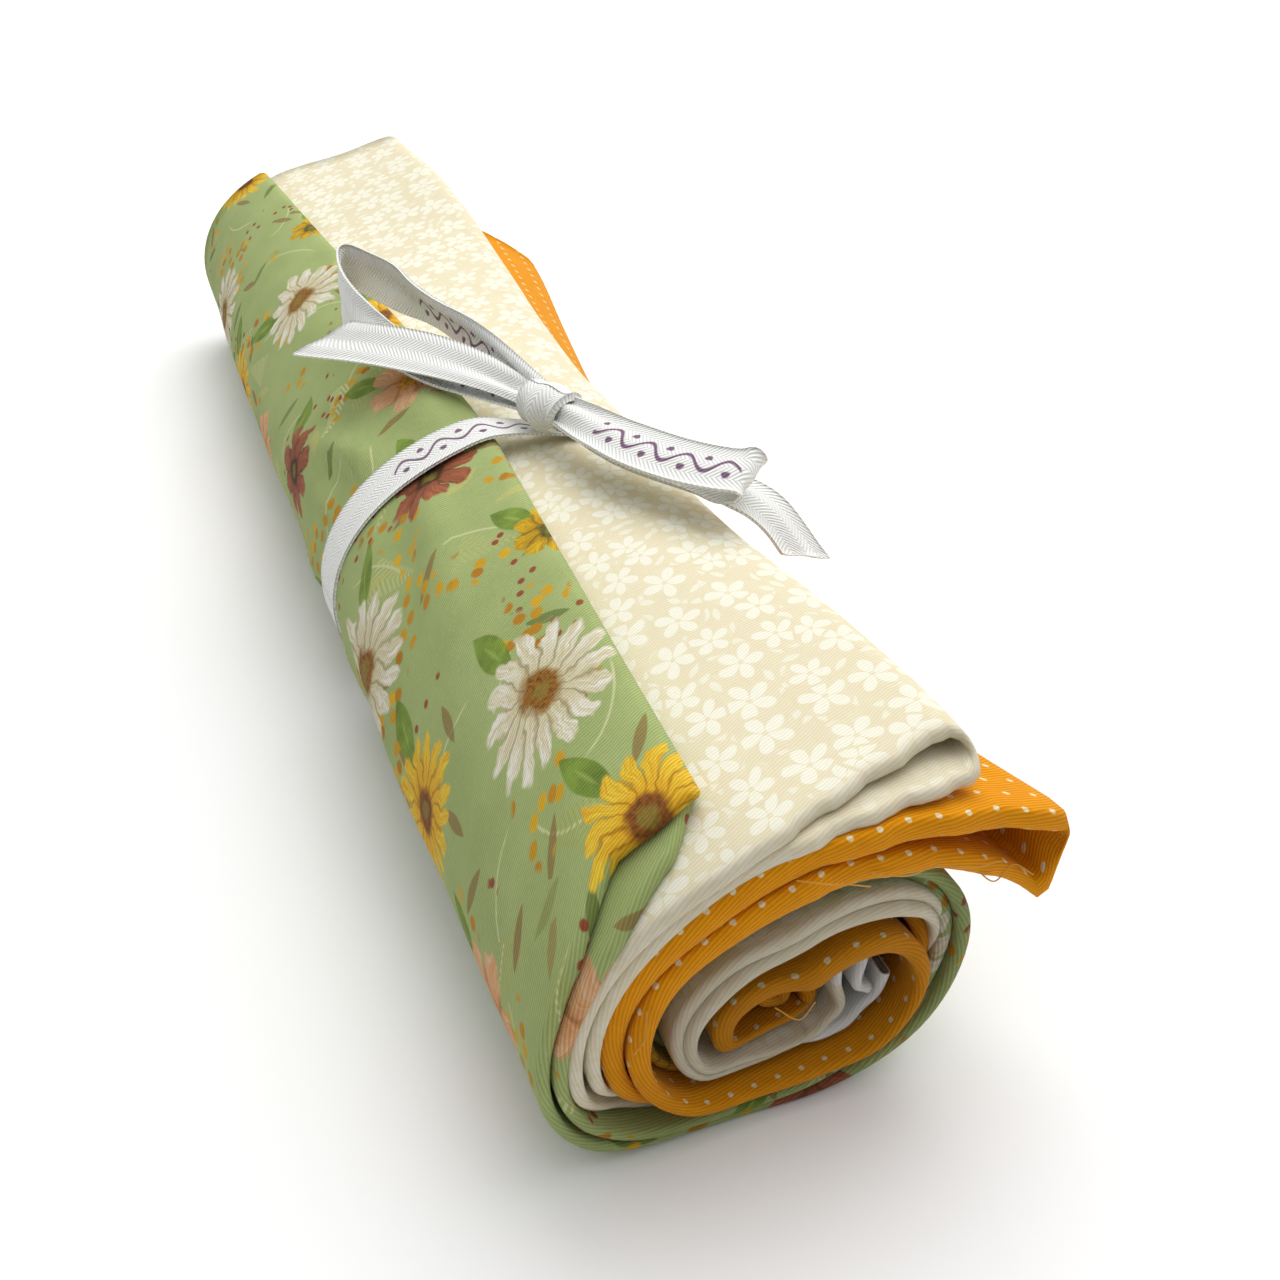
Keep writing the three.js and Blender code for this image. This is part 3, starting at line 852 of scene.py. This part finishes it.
def print_places():
    """Flowers and leaves of one repeat: columns that sway, each half a row further on than the last."""
    flowers_placed = []
    leaves_placed = []
    for column in range(PRINT_COLUMNS):
        for row in range(PRINT_ROWS):
            radius, count, kind = FLOWER_KINDS[(2 * row + 3 * column) % len(FLOWER_KINDS)]
            x = FIRST_FLOWER[0] + COLUMN_PITCH * column + COLUMN_SWAY * math.sin(2.4 * row + column)
            y = FIRST_FLOWER[1] + ROW_PITCH * (row + 0.5 * column)
            flowers_placed.append((x, y, radius, count, kind))
            lean = 1.2 + 0.7 * math.sin(3.0 * row)
            lean = math.pi - lean if column % 2 else lean
            reach = 1.2 * radius
            leaf = (x + reach * math.cos(lean), y + reach * math.sin(lean))
            leaves_placed.append((*leaf, 0.55 + 0.3 * radius, lean))
    return flowers_placed, leaves_placed


FLOWERS, LEAVES = print_places()


def patches(g, cm, scale, edge, offset):
    """Where small things gather: 1 in scattered patches."""
    return g.above(g.noise(g.vector("ADD", cm, offset), scale, detail=0.0), edge, 0.03)


def grasses(g, cm, base):
    """Pale curved grass lines and small ferns."""
    local, _, blue = g.scatter(cm, 3.1)
    lx, ly, _ = g.split(local)
    curve = g.math("SUBTRACT", ly, g.times(g.times(lx, lx), 0.22))
    line = g.below(g.math("ABSOLUTE", curve), 0.035, 0.04)
    inside = g.below(g.math("ABSOLUTE", lx), 1.2, 0.3)
    grass = g.times(g.times(line, inside), g.above(blue, 0.35, 0.01))
    base = g.mix(g.times(grass, 0.75), base, colour(226, 228, 172))

    local, green, blue = g.scatter(cm, 2.9)
    lx, ly, _ = g.split(local)
    side = g.math("ABSOLUTE", ly)
    leaflets = g.math("SINE", g.times(g.math("SUBTRACT", lx, side), 30.0))
    taper = g.times(g.math("SUBTRACT", 1.1, lx), 0.3)
    within = g.below(side, taper, 0.05)
    within = g.times(within, g.below(g.math("ABSOLUTE", lx), 1.0, 0.1))
    fern = g.times(g.above(leaflets, 0.1, 0.5), within)
    fern = g.times(fern, g.above(green, 0.55, 0.01))
    tint = g.mix(blue, colour(232, 230, 168), colour(176, 182, 96))
    return g.mix(g.times(fern, 0.8), base, tint)


def lens(g, x, y, round_ends, slimness):
    """Rises from 0 in the middle of a leaf outward; its edge is where it passes 1."""
    return g.math("MULTIPLY_ADD", g.times(x, x), round_ends, g.times(g.math("ABSOLUTE", y), slimness))


def small_leaves(g, cm, base):
    """Scattered slender leaves, olive, brown and pale."""
    local, green, blue = g.scatter(cm, 1.9)
    lx, ly, _ = g.split(local)
    shape = lens(g, lx, ly, 2.2, 5.5)
    leaf = g.below(shape, 0.9, 0.2)
    leaf = g.times(leaf, g.above(blue, 0.5, 0.01))
    tint = g.mix(g.above(green, 0.5, 0.1), colour(150, 116, 66), colour(204, 200, 120))
    tint = g.mix(g.above(green, 0.78, 0.05), tint, colour(104, 122, 52))
    return g.mix(g.times(leaf, 0.75), base, tint)


def buds(g, cm, base):
    """Sprays of gold buds, and rust specks."""
    local, green, _ = g.scatter(cm, 0.62)
    bud = g.below(g.vector("LENGTH", local), 0.17, 0.06)
    patch = patches(g, cm, 0.36, 0.6, (3.0, 1.0, 0.0))
    tint = g.mix(green, colour(232, 184, 40), colour(186, 122, 30))
    base = g.mix(g.times(bud, patch), base, tint)
    local, _, _ = g.scatter(cm, 0.7)
    speck = g.below(g.vector("LENGTH", local), 0.1, 0.04)
    patch = patches(g, cm, 0.4, 0.64, (13.0, 7.0, 0.0))
    return g.mix(g.times(speck, patch), base, colour(160, 86, 58))


def leaves(g, tile, base):
    """The broad green leaves beside the flowers."""
    nearest = 2.0
    for lx, ly, length, lean in LEAVES:
        inputs = {
            "Vector": tile, "Location": (lx, ly, 0.0), "Rotation": (0.0, 0.0, lean),
            "Scale": (length, LEAF_WIDTH, 1.0),
        }
        x, y, _ = g.split(g.node("ShaderNodeMapping", inputs, vector_type="TEXTURE")[0])
        outward = g.math("MULTIPLY_ADD", x, x, g.math("ABSOLUTE", y))
        nearest = g.math("MINIMUM", outward, nearest)
    leaf = g.below(nearest, 0.95, 0.12)
    rib = g.below(nearest, 0.1, 0.25)
    paint = g.mix(g.noise(tile, 1.7, detail=4.0), colour(48, 78, 22), colour(164, 196, 74))
    paint = g.mix(g.times(rib, 0.5), paint, colour(196, 214, 110))
    return g.mix(g.times(leaf, 0.92), base, paint)


def flowers(g, tile, base):
    """The large flowers: each point of the cloth belongs to the nearest one."""
    best = 10.0
    local = (9.0, 9.0, 0.0)
    settings = (1.0, 5.0, 0.0)
    petal = root = heart = colour(0, 0, 0)
    for fx, fy, radius, count, paints in FLOWERS:
        offset = g.vector("SUBTRACT", tile, (fx, fy, 0.0))
        distance = g.math("DIVIDE", g.vector("LENGTH", offset), radius)
        closer = g.math("LESS_THAN", distance, best)
        best = g.math("MINIMUM", distance, best)
        local = g.mix_vector(closer, local, offset)
        settings = g.mix_vector(closer, settings, (radius, float(count), 0.0))
        petal = g.mix(closer, petal, colour(*paints[0]))
        root = g.mix(closer, root, colour(*paints[1]))
        heart = g.mix(closer, heart, colour(*paints[2]))
    radius, count, _ = g.split(settings)
    warp = g.node("ShaderNodeTexNoise", {"Vector": tile, "Scale": 1.6}, noise_dimensions="2D")
    wobble = g.vector("SUBTRACT", warp["Color"], (0.5, 0.5, 0.5))
    local = g.vector("ADD", local, g.scaled(wobble, 0.5))
    local = g.vector("MULTIPLY", local, (1.0, 1.0, 0.0))
    mask, angle, distance, lobe = petals(g, local, radius, count, 0.42)
    streak_place = g.join(g.times(angle, 9.0), g.times(distance, 1.2), radius)
    streaks = g.noise(streak_place, 2.2, detail=3.0)
    toned = g.mix(g.math("MULTIPLY_ADD", distance, -1.5, 1.1, clamp=True), petal, root)
    toned = g.mix(g.times(g.above(streaks, 0.5, 0.25), 0.75), toned, root)
    between = g.times(g.below(lobe, 0.5, 0.4), 0.8)
    toned = g.mix(between, toned, g.mix(0.45, root, colour(70, 48, 20)))
    stipple = g.noise(tile, 9.0, detail=2.0)
    eye = g.below(distance, 0.3, 0.12)
    heart_colour = g.mix(g.above(stipple, 0.42, 0.3), colour(96, 62, 26), heart)
    pip = g.below(distance, 0.13, 0.08)
    heart_colour = g.mix(g.times(pip, 0.6), heart_colour, colour(150, 140, 60))
    toned = g.mix(eye, toned, heart_colour)
    return g.mix(mask, base, toned)


def floral_material():
    g = Graph(bpy.data.materials.new("floral_cotton"))
    cm = g.cloth()
    margin = (*PRINT_MARGIN, 0.0)
    x, y, _ = g.split(g.vector("ADD", cm, margin))
    column = g.math("FLOOR", g.math("DIVIDE", x, PRINT_WIDTH))
    drop = g.times(column, PRINT_DROP)
    tile_x = g.math("FLOORED_MODULO", x, PRINT_WIDTH)
    tile_y = g.math("FLOORED_MODULO", g.math("ADD", y, drop), PRINT_HEIGHT)
    tile = g.vector("SUBTRACT", g.join(tile_x, tile_y), margin)
    mottle = g.noise(cm, 0.5, detail=4.0)
    base = g.mix(mottle, colour(157, 176, 106), colour(192, 206, 138))
    base = grasses(g, cm, base)
    base = small_leaves(g, cm, base)
    base = buds(g, cm, base)
    base = leaves(g, tile, base)
    return cotton(g, cm, flowers(g, tile, base), shade_from=7.0, shade=0.5)


SELVAGE_FROM = 34.5  # from the fold of the free edge to the white strip, in centimetres
FLOWERLET_PITCH = 1.16
FLOWERLET_SCATTER = 0.62


def cream_material():
    g = Graph(bpy.data.materials.new("cream_cotton"))
    cm = g.cloth()
    mottle = g.noise(cm, 1.2)
    ground = g.mix(mottle, colour(230, 219, 185), colour(237, 228, 197))
    light = colour(244, 241, 222)
    local, _, _ = g.scatter(cm, 0.52, randomness=0.85)
    lx, ly, _ = g.split(local)
    shape = lens(g, lx, ly, 16.0, 9.0)
    small = g.below(shape, 0.85, 0.3)
    base = g.mix(g.times(small, 0.75), ground, light)
    local, _, blue = g.scatter(cm, FLOWERLET_PITCH, FLOWERLET_SCATTER)
    size = g.math("MULTIPLY_ADD", blue, 0.12, 0.5)
    around = g.below(g.vector("LENGTH", local), g.times(size, 1.1), 0.03)
    base = g.mix(g.times(around, 0.85), base, ground)
    borders = g.cells(cm, FLOWERLET_PITCH, FLOWERLET_SCATTER, "DISTANCE_TO_EDGE")
    apart = g.above(borders["Distance"], 0.035, 0.02)
    mask, _, distance, lobe = petals(g, local, size, 5.0, 0.92, fullness=0.62)
    between = g.below(lobe, 0.34, 0.1)
    mask = g.times(g.times(mask, apart), g.math("SUBTRACT", 1.0, between))
    base = g.mix(mask, base, light)
    eye = g.below(distance, 0.12, 0.05)
    base = g.mix(g.times(eye, 0.9), base, ground)
    x, y, _ = g.split(cm)
    selvage = g.above(g.math("ABSOLUTE", x), SELVAGE_FROM, 0.05)
    base = g.mix(inner_side(g, y), base, colour(226, 216, 190))
    base = g.mix(selvage, base, colour(246, 246, 244))
    return cotton(g, cm, base, shade_from=14.0, shade=0.45, depth=0.13, relief=0.2)


DOT_PITCH = 0.6
DOT_RADIUS = 0.105  # as a share of the pitch


def dot_material():
    g = Graph(bpy.data.materials.new("dot_cotton"))
    cm = g.cloth()
    mottle = g.noise(cm, 1.5, detail=4.0)
    base = g.mix(mottle, colour(236, 148, 0), colour(252, 168, 2))
    cell = g.vector("FRACTION", g.scaled(cm, 1 / DOT_PITCH))
    x, y, _ = g.split(cell)
    distance = g.vector("DISTANCE", g.join(x, y), (0.5, 0.5, 0.0))
    dot = g.below(distance, DOT_RADIUS, 0.03)
    base = g.mix(dot, base, colour(252, 234, 186))
    return cotton(g, cm, base, shade_from=10.0, shade=0.66)


LANE = 0.375  # half the width of one zigzag of the herringbone
RIB_PITCH = 0.13
FLOURISH_PITCH = 14.0
FLOURISH_SPAN = (0.8, 5.2)
FLOURISH_WAVES = 5.5  # in radians to the centimetre
STEM_SWING = 0.22
DOT_SWING = 0.25


def tape_material():
    g = Graph(bpy.data.materials.new("twill_tape"))
    cm = g.cloth()
    x, y, _ = g.split(cm)
    zigzag = g.math("ADD", x, g.math("PINGPONG", y, LANE))
    rib = g.math("SINE", g.times(zigzag, TURN / RIB_PITCH))
    # painted shade in the herringbone's grooves and painted light on its ribs: the white drawn darker and
    # lighter with the rib
    tape_shade = g.math("MULTIPLY_ADD", rib, 0.5, 0.5)
    base = g.mix(tape_shade, colour(232, 233, 230), colour(254, 254, 250))
    # a generic flourish printed now and then: a waving stem with a dot in each bend, no lettering
    cell_x = g.math("FLOORED_MODULO", x, FLOURISH_PITCH)
    phase = g.times(cell_x, FLOURISH_WAVES)
    swing = g.math("SINE", phase)
    stem = g.math("ABSOLUTE", g.math("MULTIPLY_ADD", swing, -STEM_SWING, y))
    stem = g.below(stem, 0.065, 0.05)
    along_bend = g.math("DIVIDE", g.math("COSINE", phase), FLOURISH_WAVES)
    from_bend = g.join(along_bend, g.math("MULTIPLY_ADD", swing, DOT_SWING, y))
    dots = g.below(g.vector("LENGTH", from_bend), 0.1, 0.04)
    first, last = FLOURISH_SPAN
    span = g.times(g.above(cell_x, first, 0.05), g.below(cell_x, last, 0.05))
    mark = g.times(g.math("MAXIMUM", stem, dots), span)
    base = g.mix(g.times(mark, 0.9), base, colour(104, 44, 96))
    return g.finish(base, 0.8, rib, 0.6, sheen=0.15)


def plain_material(name, rgb):
    return Graph(bpy.data.materials.new(name)).finish(rgb, 0.9, 0.0, 0.0, sheen=0.0)


# ---------------------------------------------------------------- scene

def make_threads(material):
    """Loose threads from the raw edges inside the mustard fold."""
    runs = (
        ((20, -229.2, 64), (27, -231, 62.5), (34, -230, 61.8), (42, -231, 59.5), (50, -229, 57)),
        ((4, -229, 67.5), (9, -231.5, 67), (14, -230, 64), (19, -231, 62.5)),
        ((44, -226, 57), (48, -230, 53), (53, -229, 55), (57, -231, 52.5)),
        ((-26, -229, 45), (-27, -231, 40), (-29, -230, 35)),
        ((3, -226, 31), (7, -229, 29), (11, -228, 31.5)),
    )
    curve = bpy.data.curves.new("loose_threads", "CURVE")
    curve.dimensions = "3D"
    curve.bevel_depth = 0.16 * MM
    curve.bevel_resolution = 1
    for run in runs:
        points = catmull(run, 8) * MM
        spline = curve.splines.new("POLY")
        spline.points.add(len(points) - 1)
        for point, place in zip(spline.points, points):
            point.co = (*place, 1.0)
    curve.materials.append(material)
    threads = bpy.data.objects.new("loose_threads", curve)
    bpy.context.scene.collection.objects.link(threads)
    return threads


def add_camera():
    """The photograph's view: above the near end, looking along the roll."""
    data = bpy.data.cameras.new("camera")
    data.sensor_width = 36.0
    data.lens = CAMERA_LENS
    camera = bpy.data.objects.new("camera", data)
    bpy.context.scene.collection.objects.link(camera)
    turned = Matrix.Rotation(math.radians(CAMERA_TURN), 4, "Z")
    tipped = Matrix.Rotation(math.radians(90 - CAMERA_DOWN), 4, "X")
    camera.matrix_world = Matrix.Translation(CAMERA_PLACE) @ turned @ tipped
    bpy.context.scene.camera = camera


def add_light(name, size, power, place):
    data = bpy.data.lights.new(name, "AREA")
    data.size = size
    data.energy = power
    light = bpy.data.objects.new(name, data)
    bpy.context.scene.collection.objects.link(light)
    direction = Vector(place) - Vector(LIGHT_TARGET)
    light.matrix_world = Matrix.Translation(place) @ direction.to_track_quat("Z", "Y").to_matrix().to_4x4()


def add_studio():
    bpy.ops.mesh.primitive_plane_add(size=12)
    floor = bpy.context.object
    floor.name = "floor"
    floor.data.materials.append(plain_material("floor_white", colour(250, 250, 250)))
    world = bpy.data.worlds.new("studio")
    g = Graph(world)
    place = g.node("ShaderNodeTexCoord", {})["Generated"]
    sky = g.node("ShaderNodeVectorMath", {0: place, 1: SKY_LEAN}, operation="DOT_PRODUCT")["Value"]
    brightness = g.times(sky, SKY_STRENGTH, clamp=True)
    seen = g.node("ShaderNodeLightPath", {})["Is Camera Ray"]  # plain white where the camera sees it
    background = {"Color": (1, 1, 1, 1), "Strength": g.math("MAXIMUM", seen, brightness)}
    g.node("ShaderNodeOutputWorld", {"Surface": g.node("ShaderNodeBackground", background)[0]})
    bpy.context.scene.world = world
    add_light("key", 1.4, 14, (0.5, 0.45, 1.25))
    add_light("front", 0.7, 0.2, (-0.2, -1.1, 0.75))
    bpy.context.scene.view_settings.view_transform = "Standard"


def main():
    materials = (floral_material, cream_material, dot_material)
    for cut, material, body in zip(CUTS, materials, ("roll", "cream_layer", "dot_layer")):
        piece = make_cloth(cut, material())
        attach(piece, body)
        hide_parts(cut.name + "_fabric")
    threads = make_threads(plain_material("thread", colour(214, 160, 70)))
    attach(threads, "dot_layer")

    tape = tape_material()
    for piece, node in ((make_band(tape), "tie_band"), (make_knot(tape), "tie_knot")):
        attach(piece, "tie")
        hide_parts(node)
    # each strand with the CAD part it replaces, a body name, and two points: one at the knot and one further
    # out along the strand
    bends = (
        (make_left_loop, "tie_loop_left", "loop_left", (15.5, -54, 88.5), (10, -30, 88.5)),
        (make_left_tail, "tie_tail_left", "tail_left", (12, -53, 85), (-4, -37, 85)),
        (make_right_loop, "tie_loop_right", "loop_right", (21, -61, 88), (33, -80, 88)),
        (make_right_tail, "tie_tail_right", "tail_right", (21, -60, 84), (37, -78, 84)),
    )
    for make_strand, node, body, start, end in bends:
        piece = make_strand(tape)
        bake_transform(piece)
        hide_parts(node)

    add_camera()
    add_studio()


main()
